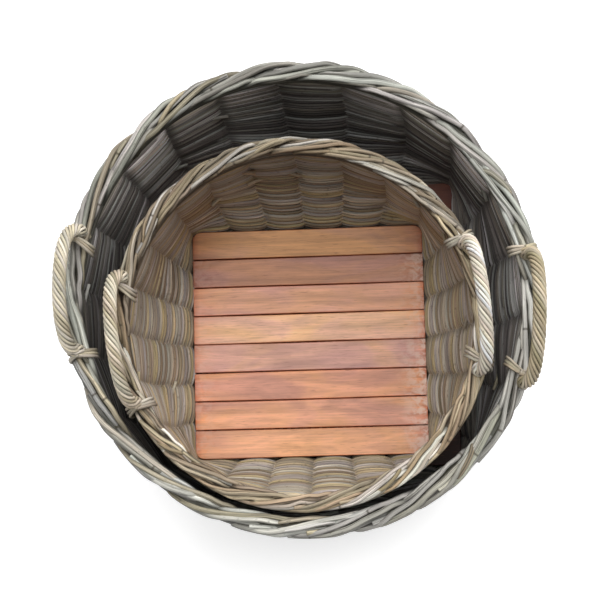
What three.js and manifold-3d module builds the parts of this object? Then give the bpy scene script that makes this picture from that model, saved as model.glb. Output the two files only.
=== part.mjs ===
// A nested pair of woven rattan baskets on castors: the small one stands inside the large one and lifts out.
// Each basket has a round plaited rim over a square foot, a slatted wooden deck on two battens,
// two rope-twist handles set into the rim, and four swivel castors screwed up through the woven floor.
// Millimetres, +Z up. The origin is on the ground below the centre of the large basket, and the slats run along X.
import * as THREE from "three";
import { mergeVertices } from "three/addons/utils/BufferGeometryUtils.js";
import Module from "manifold-3d";

const wasm = await Module();
wasm.setup();

// Clearances
const seatGap = 0.3; // between faces that rest on each other
const runGap = 0.3; // around a pin, on the radius
const socketGap = 0.7; // around a handle leg in the rim, on the radius
const deckGap = 2; // between the edge of the deck and the weave
const nestGap = 0.8; // between the two rims where the small basket leans on the large one

// Weave
const wallThickness = 16; // over the crests of its cushions, midway between two seams
const seamDepth = 4.5; // how far each face draws in at the upright seams where the strands cross
const cushionRound = 0.65; // 1 makes a cushion as round as a wave, less makes it flatter
const floorThickness = 9.7;
const skirtDepth = 12; // how far the foot of the weave hangs below the floor
const footLean = 8; // how far the foot draws in between the deck and its lower edge
const wallBelly = 1.8; // 1 makes each side lean straight out, more makes it belly out low down
const rimHeight = 34;
const rimCorner = 11; // rounding of the rim's section

// Slatted deck
const slatCount = 8;
const slatGap = 2.4;
const slatThickness = 12;
const slatEase = 1; // chamfer along every edge of a slat
const deckCorner = 22; // corner radius of the whole deck
const battenWidth = 46;
const battenThickness = 15;
const battenSetback = 6; // from the end of a batten to the edge of the deck

// Handles
const handleRadius = 9;
const handleRise = 55; // from the top of the rim to the middle of the rope at its crown
const legStraight = 8; // how far a leg stands straight above the rim before it bends
const legOut = 2.5; // how far outside the middle of the rim the legs stand
const handleHook = 0.55; // 1 makes a handle bow out like a wave, less makes it turn out sharply above its legs
const handleFacets = 8;
const handlePlaces = [["right", 0], ["left", 180]]; // the two handles, and degrees round the rim to each side

// Castors
const castorInset = 52; // from the edge of the deck to the swivel axis
const castorTrail = 14; // from the swivel axis back to the axle
const wheelRadius = 17;
const wheelWidth = 14;
const wheelEase = 2.5;
const hubRadius = 7;
const hubRecess = 1.6;
const axleRadius = 2.5;
const axleHeadRadius = 4;
const axleHeadHeight = 1.4;
const forkThickness = 2.2;
const forkTopThickness = 2.5;
const forkSideGap = 1; // between the wheel and each cheek of the fork
const forkEyeRadius = 6.5;
const forkShoulder = 12; // half the length of a cheek at the top
const wheelHeadroom = 2.6; // from the top of the wheel to the fork
const plateLength = 46;
const plateWidth = 38;
const plateThickness = 2.2;
const plateCorner = 5;
const raceRadius = 12;
const raceHeight = 3.4;
const kingpinRadius = 3.5;
const kingpinHeadRadius = 5.5;
const kingpinHeadHeight = 2;

// Each basket's own sizes
const large = {
  name: "large",
  rimRadius: 300, // to the outside of the plaited rim
  rimWidth: 29,
  height: 400, // ground to the top of the rim
  slatLength: 404,
  slatWidth: 48.4,
  handleSpan: 152, // between the middles of a handle's two legs
  handleLean: 11, // how far the crown of the handle stands out from the middle of the rim
  handleTurns: { right: -6.9, left: -3.9 }, // degrees round the rim from the X axis
  stakes: 22, // and as many cushions of weave round the wall
  seamTurn: 94, // degrees from the X axis to one of the seams
};
const small = {
  name: "small",
  rimRadius: 239,
  rimWidth: 28,
  height: 330,
  slatLength: 319,
  slatWidth: 37.3,
  handleSpan: 160,
  handleLean: 1,
  handleTurns: { right: 3.3, left: 4.3 },
  stakes: 24,
  seamTurn: 90.4,
};
const nestTurn = 6.5; // degrees from -Y of the side where the small basket leans on the large one

// How finely curves are faceted
const sectionPoints = 48; // round the rim
const cushionPoints = 4; // from one seam of the weave to the next
const wheelFacets = 16; // a multiple of 4, so that one facet lies flat on the ground
const pinFacets = 10;
const wallLevels = 5; // steps in height between the deck and the rim

// Heights that follow from the sizes above, the same on both baskets
const wheelFlat = wheelRadius * Math.cos(Math.PI / wheelFacets); // axle height with one facet on the ground
const forkUnderside = wheelFlat + wheelRadius + wheelHeadroom;
const raceBottom = forkUnderside + forkTopThickness + seatGap;
const plateBottom = raceBottom + raceHeight;
const castorHeight = plateBottom + plateThickness;
const floorBottom = castorHeight + seatGap;
const floorTop = floorBottom + floorThickness;
const battenBottom = floorTop + seatGap;
const slatBottom = battenBottom + battenThickness + seatGap;
const deckTop = slatBottom + slatThickness;

// Colours and finishes
const finish = (color, roughness, metalness = 0) => new THREE.MeshStandardMaterial({ color, roughness, metalness });
const greyRattan = finish(0x8b8574, 0.75);
const brownRattan = finish(0x93866c, 0.75);
const handleRattan = finish(0xb3a785, 0.7);
const slatWood = finish(0xc08a66, 0.55);
const battenWood = finish(0xa9774f, 0.6);
const zincSteel = finish(0x9a9c9e, 0.35, 0.9);
const wheelPlastic = finish(0x2b2b2c, 0.5);

// A closed geometry as a solid that can be joined or cut
function solidOf(geometry) {
  const bare = geometry.clone();
  bare.deleteAttribute("normal");
  bare.deleteAttribute("uv");
  const merged = mergeVertices(bare);
  const mesh = { numProp: 3, vertProperties: merged.attributes.position.array, triVerts: merged.index.array };
  return new wasm.Manifold(new wasm.Mesh(mesh));
}

// A solid as a geometry
function geometryOf(solid) {
  const mesh = solid.getMesh();
  const geometry = new THREE.BufferGeometry();
  geometry.setAttribute("position", new THREE.BufferAttribute(mesh.vertProperties, 3));
  geometry.setIndex(new THREE.BufferAttribute(mesh.triVerts, 1));
  geometry.computeVertexNormals();
  return geometry;
}

// A profile of [radius, height] pairs turned about Z
function turned(profile, facets) {
  const points = profile.map(([radius, height]) => new THREE.Vector2(radius, height));
  return new THREE.LatheGeometry(points, facets).rotateX(Math.PI / 2);
}

// A flat outline in XY raised from one height to another, with its edges eased
function raised(outline, bottom, top, ease = 0) {
  const geometry = new THREE.ExtrudeGeometry(outline, {
    depth: top - bottom - 2 * ease,
    bevelEnabled: ease > 0,
    bevelSize: ease,
    bevelThickness: ease,
    bevelOffset: -ease,
    bevelSegments: 1,
    curveSegments: 2,
  });
  return geometry.translate(0, 0, bottom + ease);
}

// A rectangle with its own radius at each corner, from low X and low Y anticlockwise; 0 is a sharp corner
function rectangle(halfX, halfY, radii) {
  const signs = [[-1, -1], [1, -1], [1, 1], [-1, 1]];
  const outline = new THREE.Shape();
  signs.forEach(([signX, signY], i) => {
    const radius = radii[i];
    const x = signX * (halfX - radius);
    const y = signY * (halfY - radius);
    const start = Math.PI + (i * Math.PI) / 2;
    if (radius > 0) outline.absarc(x, y, radius, start, start + Math.PI / 2);
    else if (i === 0) outline.moveTo(x, y);
    else outline.lineTo(x, y);
  });
  outline.closePath();
  return outline;
}

// How far out the corners of a faceted hole lie, so that a round pin of this radius passes its flats
function reach(radius, facets) {
  return radius / Math.cos(Math.PI / facets);
}

// A round hole for a pin, cut in a flat outline
function pinHole(x, y, radius) {
  const hole = new THREE.Path();
  const corner = reach(radius, pinFacets);
  for (let i = 0; i < pinFacets; i++) {
    const angle = (i / pinFacets) * 2 * Math.PI;
    const point = [x + corner * Math.cos(angle), y + corner * Math.sin(angle)];
    if (i === 0) hole.moveTo(...point);
    else hole.lineTo(...point);
  }
  hole.closePath();
  return hole;
}

// Sizes of one basket that follow from its own sizes
function worked(basket) {
  const slatPitch = basket.slatWidth + slatGap;
  const deckHalfX = basket.slatLength / 2;
  const deckHalfY = (slatCount * slatPitch - slatGap) / 2;
  const footHalf = Math.max(deckHalfX, deckHalfY) + deckGap;
  const footCorner = deckCorner + deckGap;
  const rimMiddle = basket.rimRadius - basket.rimWidth / 2;
  const rimBottom = basket.height - rimHeight;
  return {
    ...basket,
    slatPitch,
    deckHalfX,
    deckHalfY,
    footHalf,
    footCorner,
    footDiagonal: (footHalf - footCorner) * Math.SQRT2 + footCorner,
    stitches: stitchesRound(basket, footHalf, footCorner),
    rimMiddle,
    rimBottom,
    wallTop: rimBottom - seatGap,
    wallRadius: rimMiddle - wallThickness / 2, // inside of the weave under the rim
    castorX: deckHalfX - castorInset,
    castorY: deckHalfY - castorInset,
  };
}

// Half side and corner radius of the weave's inner face at a share of the way from the deck (0) to the rim (1).
// The sides belly outwards until the square has become a circle, while the corners rise almost straight.
function weaveSection(basket, share) {
  const half = basket.footHalf + (basket.wallRadius - basket.footHalf) * (1 - (1 - share) ** wallBelly);
  const diagonal = basket.footDiagonal + (basket.wallRadius - basket.footDiagonal) * share;
  const corner = (half * Math.SQRT2 - diagonal) / (Math.SQRT2 - 1);
  return { half, corner: Math.min(corner, half) };
}

// The angle of the point at a share of the way round a rounded square, from the middle of its +X side
function footAngle(half, corner, share) {
  const side = half - corner;
  const arc = (Math.PI / 2) * corner;
  const turn = Math.floor(share * 4);
  const along = (share * 4 - turn) * (2 * side + arc);
  const bend = THREE.MathUtils.clamp((along - side) / corner, 0, Math.PI / 2);
  const x = side + corner * Math.cos(bend) - Math.max(along - side - arc, 0);
  const y = Math.min(along, side) + corner * Math.sin(bend);
  return Math.atan2(y, x) + (turn * Math.PI) / 2;
}

// The points round the weave: seams are spaced evenly along the foot and evenly round the rim,
// and each point is drawn in by a share of the seams' depth
function stitchesRound(basket, half, corner) {
  const count = basket.stakes * cushionPoints;
  return Array.from({ length: count }, (_, i) => {
    const share = basket.seamTurn / 360 + i / count;
    const crest = Math.sin((Math.PI * (i % cushionPoints)) / cushionPoints) ** cushionRound;
    return { atFoot: footAngle(half, corner, share), atRim: 2 * Math.PI * share, drawn: 1 - crest };
  });
}

// One ring of points round a rounded square; the seams step out from it by the given depth, or in if that is negative
function ring(basket, half, corner, height, share, depth) {
  return basket.stitches.map(({ atFoot, atRim, drawn }) => {
    const angle = THREE.MathUtils.lerp(atFoot, atRim, share);
    const side = half + depth * drawn;
    const bend = corner + depth * drawn;
    const centre = side - bend;
    const c = Math.abs(Math.cos(angle));
    const s = Math.abs(Math.sin(angle));
    const onSide = side * Math.min(c, s) <= centre * Math.max(c, s);
    const onCorner = centre * (c + s) + Math.sqrt(Math.max(0, bend ** 2 - centre ** 2 * (c - s) ** 2));
    const radius = onSide ? side / Math.max(c, s) : onCorner;
    return new THREE.Vector3(radius * Math.cos(angle), radius * Math.sin(angle), height);
  });
}

// A closed skin through a list of rings, with a flat cap on the first and the last
function skin(rings) {
  const count = rings[0].length;
  const middleOf = (points) => new THREE.Vector3(0, 0, points[0].z);
  const corners = [...rings.flat(), middleOf(rings[0]), middleOf(rings.at(-1))];
  const firstMiddle = rings.length * count;
  const lastMiddle = firstMiddle + 1;
  const faces = [];
  for (let j = 0; j < count; j++) {
    const k = (j + 1) % count;
    faces.push(firstMiddle, k, j);
    for (let i = 0; i < rings.length - 1; i++) {
      const low = i * count;
      const high = low + count;
      faces.push(low + j, low + k, high + k, low + j, high + k, high + j);
    }
    const last = (rings.length - 1) * count;
    faces.push(lastMiddle, last + j, last + k);
  }
  const geometry = new THREE.BufferGeometry().setFromPoints(corners);
  geometry.setIndex(faces);
  return geometry;
}

// Woven floor and wall in one: the floor's stakes turn up to become the wall's.
// The strands cross at upright seams between the stakes, so the wall stands in cushions on both faces.
function wovenBody(basket) {
  const { footHalf, footCorner, wallTop } = basket;
  const skirtBottom = floorBottom - skirtDepth;
  const inner = (half, corner, height, share) => ring(basket, half, corner, height, share, seamDepth);
  const outer = (half, corner, height, share) =>
    ring(basket, half + wallThickness, corner + wallThickness, height, share, -seamDepth);
  const foot = (face, height) => {
    const lean = (footLean * (slatBottom - height)) / (slatBottom - skirtBottom);
    return face(footHalf - lean, footCorner, height, 0);
  };
  const outside = [foot(outer, skirtBottom), foot(outer, slatBottom)];
  const inside = [foot(inner, slatBottom), foot(inner, floorTop)];
  for (let level = 0; level <= wallLevels; level++) {
    const share = level / wallLevels;
    const { half, corner } = weaveSection(basket, share);
    const height = deckTop + (wallTop - deckTop) * share;
    outside.push(outer(half, corner, height, share));
    inside.unshift(inner(half, corner, height, share));
  }
  return skin([foot(inner, floorBottom), foot(inner, skirtBottom), ...outside, ...inside]);
}

// The line along the middle of a handle: up one leg, over the crown and down the other
function handleLine(basket) {
  const halfSpan = basket.handleSpan / 2;
  const foot = basket.wallTop + seatGap - basket.height;
  const crown = basket.rimMiddle + basket.handleLean - legRadius(basket);
  const points = [new THREE.Vector3(0, -halfSpan, foot), new THREE.Vector3(0, -halfSpan, foot / 2)];
  const archSteps = 6;
  for (let i = 0; i <= archSteps; i++) {
    const angle = (i / archSteps) * Math.PI;
    const height = legStraight + (handleRise - legStraight) * Math.sin(angle);
    const bow = Math.max(0, Math.sin(angle)) ** handleHook;
    points.push(new THREE.Vector3(crown * bow, -halfSpan * Math.cos(angle), height));
  }
  points.push(new THREE.Vector3(0, halfSpan, foot / 2), new THREE.Vector3(0, halfSpan, foot));
  return new THREE.CatmullRomCurve3(points, false, "centripetal");
}

// A round rope of the handle's thickness along its line, standing in the rim on the +X side
function handleGeometry(basket) {
  const section = new THREE.Shape();
  for (let i = 0; i < handleFacets; i++) {
    const angle = ((i + 0.5) / handleFacets) * 2 * Math.PI;
    const corner = [handleRadius * Math.cos(angle), handleRadius * Math.sin(angle)];
    if (i === 0) section.moveTo(...corner);
    else section.lineTo(...corner);
  }
  const rope = new THREE.ExtrudeGeometry(section, { steps: 20, extrudePath: handleLine(basket) });
  return rope.translate(legRadius(basket), 0, basket.height);
}

// How far from the basket's axis a handle's legs go down, so that both meet the round rim alike
function legRadius(basket) {
  return Math.sqrt((basket.rimMiddle + legOut) ** 2 - (basket.handleSpan / 2) ** 2);
}

// The plaited rim as a ring with rounded section, and a socket through it for each handle leg
function rimGeometry(basket) {
  const section = rectangle(basket.rimWidth / 2, rimHeight / 2, [rimCorner, rimCorner, rimCorner, rimCorner]);
  const outline = section.extractPoints(1).shape;
  const middleHeight = basket.rimBottom + rimHeight / 2;
  const profile = [...outline, outline[0]].map(({ x, y }) => [basket.rimMiddle + x, middleHeight + y]);
  let rim = solidOf(turned(profile, sectionPoints));
  for (const [side, start] of handlePlaces) {
    for (const leg of [-1, 1]) {
      const radius = reach(handleRadius + socketGap, pinFacets);
      const socket = new THREE.CylinderGeometry(radius, radius, 3 * rimHeight, pinFacets);
      socket.rotateX(Math.PI / 2);
      socket.translate(legRadius(basket), (leg * basket.handleSpan) / 2, basket.height);
      socket.rotateZ(THREE.MathUtils.degToRad(start + basket.handleTurns[side]));
      rim = rim.subtract(solidOf(socket));
    }
  }
  return geometryOf(rim);
}

// One slat of the deck; the first and last carry the deck's rounded corners
function slatGeometry(basket, index) {
  const first = index === 0 ? deckCorner : 0;
  const last = index === slatCount - 1 ? deckCorner : 0;
  const outline = rectangle(basket.deckHalfX, basket.slatWidth / 2, [first, first, last, last]);
  const place = (index - (slatCount - 1) / 2) * basket.slatPitch;
  return raised(outline, slatBottom, deckTop, slatEase).translate(0, place, 0);
}

// One batten across the slats, over a pair of castors
function battenGeometry(basket, side) {
  const halfLength = basket.deckHalfY - battenSetback;
  const outline = rectangle(battenWidth / 2, halfLength, [0, 0, 0, 0]);
  return raised(outline, battenBottom, battenBottom + battenThickness).translate(side * basket.castorX, 0, 0);
}

// Castor plate with its ball race and the riveted kingpin that the fork hangs on
function plateGeometry() {
  const corners = [plateCorner, plateCorner, plateCorner, plateCorner];
  const plate = raised(rectangle(plateLength / 2, plateWidth / 2, corners), plateBottom, castorHeight);
  const headTop = forkUnderside - seatGap;
  const overlap = plateThickness / 2; // the race is let into the plate, so that they join as one piece
  const race = turned(
    [
      [0, headTop - kingpinHeadHeight],
      [kingpinHeadRadius, headTop - kingpinHeadHeight],
      [kingpinHeadRadius, headTop],
      [kingpinRadius, headTop],
      [kingpinRadius, raceBottom],
      [raceRadius, raceBottom],
      [raceRadius, plateBottom + overlap],
      [0, plateBottom + overlap],
    ],
    pinFacets,
  );
  return geometryOf(solidOf(plate).add(solidOf(race)));
}

// Swivel fork: a top plate round the kingpin, and two cheeks down to the axle
function forkGeometry() {
  const cheekInside = wheelWidth / 2 + forkSideGap;
  const cheekOutside = cheekInside + forkThickness;
  const top = rectangle(cheekOutside, forkShoulder, [2, 2, 2, 2]);
  top.holes.push(pinHole(0, 0, kingpinRadius + runGap));
  let fork = solidOf(raised(top, forkUnderside, forkUnderside + forkTopThickness));
  for (const side of [-1, 1]) {
    const cheek = new THREE.Shape();
    cheek.moveTo(-forkShoulder, forkUnderside + forkTopThickness / 2);
    cheek.lineTo(-forkShoulder, forkUnderside - forkTopThickness);
    cheek.absarc(-castorTrail, wheelFlat, forkEyeRadius, 0.95 * Math.PI, 1.8 * Math.PI);
    cheek.lineTo(forkShoulder, forkUnderside - forkTopThickness);
    cheek.lineTo(forkShoulder, forkUnderside + forkTopThickness / 2);
    cheek.holes.push(pinHole(-castorTrail, wheelFlat, axleRadius + runGap));
    const panel = new THREE.ExtrudeGeometry(cheek, { depth: forkThickness, bevelEnabled: false, curveSegments: 3 });
    panel.rotateX(Math.PI / 2).rotateZ(Math.PI / 2);
    panel.translate(side > 0 ? cheekInside : -cheekOutside, 0, 0);
    fork = fork.add(solidOf(panel));
  }
  return geometryOf(fork);
}

// Wheel with a recessed hub, turned about X at the axle
function wheelGeometry() {
  const half = wheelWidth / 2;
  const bore = reach(axleRadius + runGap, wheelFacets);
  const shoulder = (hubRadius + wheelRadius) / 2;
  const profile = [
    [bore, -half],
    [hubRadius, -half],
    [shoulder, hubRecess - half],
    [wheelRadius - wheelEase, -half],
    [wheelRadius, wheelEase - half],
    [wheelRadius, half - wheelEase],
    [wheelRadius - wheelEase, half],
    [shoulder, half - hubRecess],
    [hubRadius, half],
    [bore, half],
    [bore, -half],
  ];
  const wheel = turned(profile, wheelFacets).rotateZ(Math.PI / wheelFacets).rotateY(Math.PI / 2);
  return wheel.translate(0, -castorTrail, wheelFlat);
}

// Riveted axle through the fork's cheeks and the wheel
function axleGeometry() {
  const half = wheelWidth / 2 + forkSideGap + forkThickness + seatGap;
  const profile = [
    [0, -half - axleHeadHeight],
    [axleHeadRadius, -half - axleHeadHeight],
    [axleHeadRadius, -half],
    [axleRadius, -half],
    [axleRadius, half],
    [axleHeadRadius, half],
    [axleHeadRadius, half + axleHeadHeight],
    [0, half + axleHeadHeight],
  ];
  return turned(profile, pinFacets).rotateY(Math.PI / 2).translate(0, -castorTrail, wheelFlat);
}

// A named piece of the object
function piece(name, geometry, material) {
  const mesh = new THREE.Mesh(geometry, material);
  mesh.name = name;
  return mesh;
}

// One castor standing on the ground, with its swivel axis at X = Y = 0 and its wheel trailing towards -Y
function makeCastor(name) {
  const castor = new THREE.Group();
  castor.add(piece(`${name}_plate`, plateGeometry(), zincSteel));
  castor.add(piece(`${name}_fork`, forkGeometry(), zincSteel));
  castor.add(piece(`${name}_axle`, axleGeometry(), zincSteel));
  castor.add(piece(`${name}_wheel`, wheelGeometry(), wheelPlastic));
  return castor;
}

// One whole basket standing on the ground
function makeBasket(sizes, weaveFinish) {
  const basket = worked(sizes);
  const { name } = basket;
  const group = new THREE.Group();
  group.add(piece(`${name}_woven_body`, wovenBody(basket), weaveFinish));
  group.add(piece(`${name}_rim_border`, rimGeometry(basket), weaveFinish));
  for (const [side, start] of handlePlaces) {
    const handle = piece(`${name}_handle_${side}`, handleGeometry(basket), handleRattan);
    handle.rotation.z = THREE.MathUtils.degToRad(start + basket.handleTurns[side]);
    group.add(handle);
  }
  for (const [side, sign] of [["left", -1], ["right", 1]]) {
    group.add(piece(`${name}_batten_${side}`, battenGeometry(basket, sign), battenWood));
  }
  for (let i = 0; i < slatCount; i++) {
    group.add(piece(`${name}_slat_${i + 1}`, slatGeometry(basket, i), slatWood));
  }
  for (const [end, signY] of [["front", -1], ["back", 1]]) {
    for (const [side, signX] of [["left", -1], ["right", 1]]) {
      const castor = makeCastor(`${name}_castor_${end}_${side}`);
      castor.position.set(signX * basket.castorX, signY * basket.castorY, 0);
      group.add(castor);
    }
  }
  return group;
}

// The small basket stands on the large one's deck and leans against the large one's rim
const nestRoom = large.rimRadius - large.rimWidth - small.rimRadius - nestGap;
const nestAngle = THREE.MathUtils.degToRad(nestTurn);
const smallBasket = makeBasket(small, brownRattan);
smallBasket.position.set(-nestRoom * Math.sin(nestAngle), -nestRoom * Math.cos(nestAngle), deckTop + seatGap);

const baskets = new THREE.Group();
baskets.add(makeBasket(large, greyRattan), smallBasket);
export default baskets;
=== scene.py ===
import math

import bmesh
import bpy
import numpy as np
from mathutils import Matrix, Vector


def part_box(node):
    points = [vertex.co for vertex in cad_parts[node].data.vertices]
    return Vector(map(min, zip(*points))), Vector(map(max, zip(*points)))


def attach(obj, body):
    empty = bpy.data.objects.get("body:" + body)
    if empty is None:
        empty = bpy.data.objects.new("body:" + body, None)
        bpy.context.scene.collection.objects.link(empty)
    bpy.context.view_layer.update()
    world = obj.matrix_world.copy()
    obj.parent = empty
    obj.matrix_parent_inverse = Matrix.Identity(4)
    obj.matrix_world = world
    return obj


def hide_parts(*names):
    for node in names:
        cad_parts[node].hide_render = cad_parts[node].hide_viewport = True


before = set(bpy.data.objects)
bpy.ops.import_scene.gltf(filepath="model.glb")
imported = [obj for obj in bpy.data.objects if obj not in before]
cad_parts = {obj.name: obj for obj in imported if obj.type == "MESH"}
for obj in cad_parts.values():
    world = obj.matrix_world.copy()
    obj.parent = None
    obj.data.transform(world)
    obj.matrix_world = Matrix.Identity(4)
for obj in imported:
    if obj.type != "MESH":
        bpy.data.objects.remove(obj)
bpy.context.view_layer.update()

mm = 0.001
wholeTurn = 2 * math.pi
dice = np.random.default_rng(41)


# node helpers; a span is the stretch of a pattern that counts, levels are what it is turned into

noiseSpan = (0.3, 0.7)  # most of a noise pattern lies here


def startMaterial(name):
    material = bpy.data.materials.new(name)
    material.use_nodes = True
    return material, material.node_tree, material.node_tree.nodes["Principled BSDF"]


def place(tree, kind, **settings):
    node = tree.nodes.new(kind)
    for key, value in settings.items():
        setattr(node, key, value)
    return node


def feed(tree, socket, value):
    if isinstance(value, bpy.types.NodeSocket):
        tree.links.new(value, socket)
    elif isinstance(value, tuple) and len(socket.default_value) == 4:
        socket.default_value = (*value, 1.0)
    else:
        socket.default_value = value


def stretch(tree, spot, scale):
    node = place(tree, "ShaderNodeMapping")
    feed(tree, node.inputs["Vector"], spot)
    feed(tree, node.inputs["Scale"], scale)
    return node.outputs["Vector"]


def mottle(tree, spot, scale, detail=2.0, rough=0.5, twist=0.0):
    node = place(tree, "ShaderNodeTexNoise")
    feed(tree, node.inputs["Vector"], stretch(tree, spot, scale))
    for key, value in (("Scale", 1.0), ("Detail", detail), ("Roughness", rough), ("Distortion", twist)):
        feed(tree, node.inputs[key], value)
    return node.outputs["Fac"]


def ramp(tree, value, span, levels):
    node = place(tree, "ShaderNodeMapRange", clamp=True)
    keys = ("Value", "From Min", "From Max", "To Min", "To Max")
    for key, number in zip(keys, (value, *span, *levels)):
        feed(tree, node.inputs[key], number)
    return node.outputs["Result"]


def sums(tree, operation, first, second=0.0):
    node = place(tree, "ShaderNodeMath", operation=operation)
    feed(tree, node.inputs[0], first)
    feed(tree, node.inputs[1], second)
    return node.outputs[0]


def mixed(tree, share, first, second, blend="MIX"):
    node = place(tree, "ShaderNodeMix", data_type="RGBA", blend_type=blend)
    feed(tree, node.inputs[0], share)
    feed(tree, node.inputs[6], first)  # inputs 6 and 7 are the two colours
    feed(tree, node.inputs[7], second)
    return node.outputs[2]


def shaded(tree, colour, value, span, levels):
    grey = place(tree, "ShaderNodeCombineColor")
    level = ramp(tree, value, span, levels)
    for socket in grey.inputs[:3]:
        feed(tree, socket, level)
    return mixed(tree, 1.0, colour, grey.outputs[0], "MULTIPLY")


def bumped(tree, shader, height, strength, distance):
    node = place(tree, "ShaderNodeBump")
    feed(tree, node.inputs["Strength"], strength)
    feed(tree, node.inputs["Distance"], distance)
    feed(tree, node.inputs["Height"], height)
    feed(tree, shader.inputs["Normal"], node.outputs["Normal"])


def read(tree, name, output):
    return place(tree, "ShaderNodeAttribute", attribute_name=name).outputs[output]


# finish of the cane: "fibre" is where a point lay on its strand before it was bent, along Z

caneFinish = dict(
    # noise: how fine across and along the strand, then its detail and roughness
    grain=((900, 900, 14), 3.0, 0.6), streak=((340, 340, 9), 2.0, 0.55), crack=((560, 560, 7), 2.0, 0.5),
    patch=((70, 70, 12), 3.0, 0.55), speck=((420, 420, 130), 2.0, 0.5),
    streakSpan=(0.32, 0.68), patchLevels=(0.72, 1.25),
    crackSpan=(0.6, 0.7), crackColour=(0.05, 0.04, 0.03),
    speckSpan=(0.64, 0.74), speckShare=0.5, speckColour=(0.04, 0.03, 0.02),
    jointEvery=0.45, jointSpan=(0.001, 0.005), jointDip=0.6, jointColour=(0.05, 0.036, 0.022),
    roughSpread=(-0.08, 0.1), gloss=0.35, relief=(0.4, 0.7 * mm))


def makeCane(name, rough, contrast, jointShade, crackShade):
    material, tree, shader = startMaterial(name)
    spot = read(tree, "fibre", "Vector")
    grain, streak, crack, patch, speck = [
        mottle(tree, spot, *caneFinish[key]) for key in ("grain", "streak", "crack", "patch", "speck")]
    split = place(tree, "ShaderNodeSeparateXYZ")
    feed(tree, split.inputs[0], spot)
    turn = sums(tree, "FRACT", sums(tree, "DIVIDE", split.outputs["Z"], caneFinish["jointEvery"]))
    fromJoint = sums(tree, "ABSOLUTE", sums(tree, "SUBTRACT", turn, 0.5))
    joint = ramp(tree, fromJoint, caneFinish["jointSpan"], (1.0, 0.0))
    levels = (1 - contrast, 1 + contrast)
    colour = shaded(tree, read(tree, "tint", "Color"), grain, noiseSpan, levels)
    colour = shaded(tree, colour, streak, caneFinish["streakSpan"], levels)
    colour = shaded(tree, colour, patch, noiseSpan, caneFinish["patchLevels"])
    cracked = ramp(tree, crack, caneFinish["crackSpan"], (0.0, crackShade))
    colour = mixed(tree, cracked, colour, caneFinish["crackColour"])
    specked = ramp(tree, speck, caneFinish["speckSpan"], (0.0, caneFinish["speckShare"]))
    colour = mixed(tree, specked, colour, caneFinish["speckColour"])
    colour = mixed(tree, sums(tree, "MULTIPLY", joint, jointShade), colour, caneFinish["jointColour"])
    feed(tree, shader.inputs["Base Color"], colour)
    roughness = [rough + change for change in caneFinish["roughSpread"]]
    feed(tree, shader.inputs["Roughness"], ramp(tree, patch, noiseSpan, roughness))
    shader.inputs["Specular IOR Level"].default_value = caneFinish["gloss"]
    height = sums(tree, "SUBTRACT", grain, sums(tree, "MULTIPLY", joint, caneFinish["jointDip"]))
    bumped(tree, shader, height, *caneFinish["relief"])
    return material


weaveCane = makeCane("weaveCane", rough=0.6, contrast=0.3, jointShade=0.3, crackShade=0.3)
rimCane = makeCane("rimCane", rough=0.6, contrast=0.36, jointShade=0.75, crackShade=0.8)
ropeCane = makeCane("ropeCane", rough=0.58, contrast=0.18, jointShade=0.2, crackShade=0.35)


# finish of the deck and battens: "fibre" is the place in the plank that a slat was cut from

woodFinish = dict(
    figure=(3, 40, 40), figureWave={"Scale": 0.3, "Distortion": 7.0, "Detail": 2.0, "Detail Scale": 0.6},
    # noise: how fine along and across the slat, then its detail, roughness and twist
    cloud=((5.5, 13, 13), 3.0, 0.5, 1.2), swirl=((7, 38, 38), 3.0, 0.55, 2.0),
    streak=((2.5, 130, 130), 3.0, 0.6, 0.8), grain=((9, 620, 620), 3.0, 0.6),
    pore=((60, 1000, 1000), 2.0, 0.5), bloom=((100, 130, 130), 4.0, 0.6, 0.5),
    ochre=(1.06, 1.08, 0.90), ochreSpan=(0.48, 0.62), mauve=(0.83, 0.79, 0.89), mauveSpan=(0.5, 0.36),
    swirlLevels=(0.82, 1.17), figureLevels=(0.93, 1.05), streakLevels=(0.9, 1.09), grainLevels=(0.87, 1.11),
    deep=(0.20, 0.07, 0.03), poreSpan=(0.6, 0.72), poreShare=0.45,
    worn=(0.78, 0.62, 0.52), bloomSpan=(0.4, 0.58), bloomShare=0.9,
    knot=17, knotSpan=(0.02, 0.06), rareSpan=(0.7, 0.72), knotShare=0.75,
    roughSpread=(-0.06, 0.08), gloss=0.4, figureHeight=0.4, relief=(0.25, 0.6 * mm))


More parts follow.
